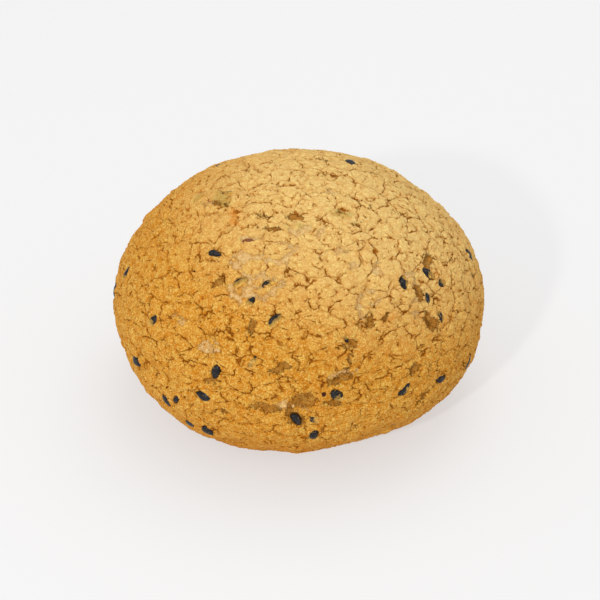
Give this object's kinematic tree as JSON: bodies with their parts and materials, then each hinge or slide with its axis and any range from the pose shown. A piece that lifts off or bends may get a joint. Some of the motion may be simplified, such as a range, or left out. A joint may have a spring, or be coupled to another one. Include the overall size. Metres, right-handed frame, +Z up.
{
  "type": "baked mochi bun",
  "caption": "Round baked mochi bread bun with a cracked golden crust and black sesame seeds, standing on its flat foot.",
  "frame": {"origin": "centre of the bottom of the bounding box, which is the middle of the flat foot that the bun stands on", "axes": "+Z up through the middle of the domed top; -Y towards the side that faces the viewer; +X to the viewer's right"},
  "size_m": [0.0753, 0.0752, 0.048],
  "materials": {
    "baked_crust": "matt, cracked and grainy golden-brown crust",
    "black_sesame": "satin, near-black seed coat"
  },
  "bodies": {
    "root": {"bun": "baked_crust", "sesame_seed_01": "black_sesame", "sesame_seed_02": "black_sesame", "sesame_seed_03": "black_sesame", "sesame_seed_04": "black_sesame", "sesame_seed_05": "black_sesame", "sesame_seed_06": "black_sesame", "sesame_seed_07": "black_sesame", "sesame_seed_08": "black_sesame", "sesame_seed_09": "black_sesame", "sesame_seed_10": "black_sesame", "sesame_seed_11": "black_sesame", "sesame_seed_12": "black_sesame", "sesame_seed_13": "black_sesame", "sesame_seed_14": "black_sesame", "sesame_seed_15": "black_sesame", "sesame_seed_16": "black_sesame", "sesame_seed_17": "black_sesame", "sesame_seed_18": "black_sesame", "sesame_seed_19": "black_sesame", "sesame_seed_20": "black_sesame", "sesame_seed_21": "black_sesame", "sesame_seed_22": "black_sesame", "sesame_seed_23": "black_sesame", "sesame_seed_24": "black_sesame", "sesame_seed_25": "black_sesame", "sesame_seed_26": "black_sesame", "sesame_seed_27": "black_sesame", "sesame_seed_28": "black_sesame", "sesame_seed_29": "black_sesame", "sesame_seed_30": "black_sesame", "sesame_seed_31": "black_sesame", "sesame_seed_32": "black_sesame", "sesame_seed_33": "black_sesame", "sesame_seed_34": "black_sesame", "sesame_seed_35": "black_sesame", "sesame_seed_36": "black_sesame", "sesame_seed_37": "black_sesame", "sesame_seed_38": "black_sesame", "sesame_seed_39": "black_sesame", "sesame_seed_40": "black_sesame", "sesame_seed_41": "black_sesame", "sesame_seed_42": "black_sesame", "sesame_seed_43": "black_sesame", "sesame_seed_44": "black_sesame", "sesame_seed_45": "black_sesame", "sesame_seed_46": "black_sesame", "sesame_seed_47": "black_sesame", "sesame_seed_48": "black_sesame", "sesame_seed_49": "black_sesame", "sesame_seed_50": "black_sesame", "sesame_seed_51": "black_sesame", "sesame_seed_52": "black_sesame", "sesame_seed_53": "black_sesame", "sesame_seed_54": "black_sesame", "sesame_seed_55": "black_sesame", "sesame_seed_56": "black_sesame", "sesame_seed_57": "black_sesame"}
  },
  "joints": []
}
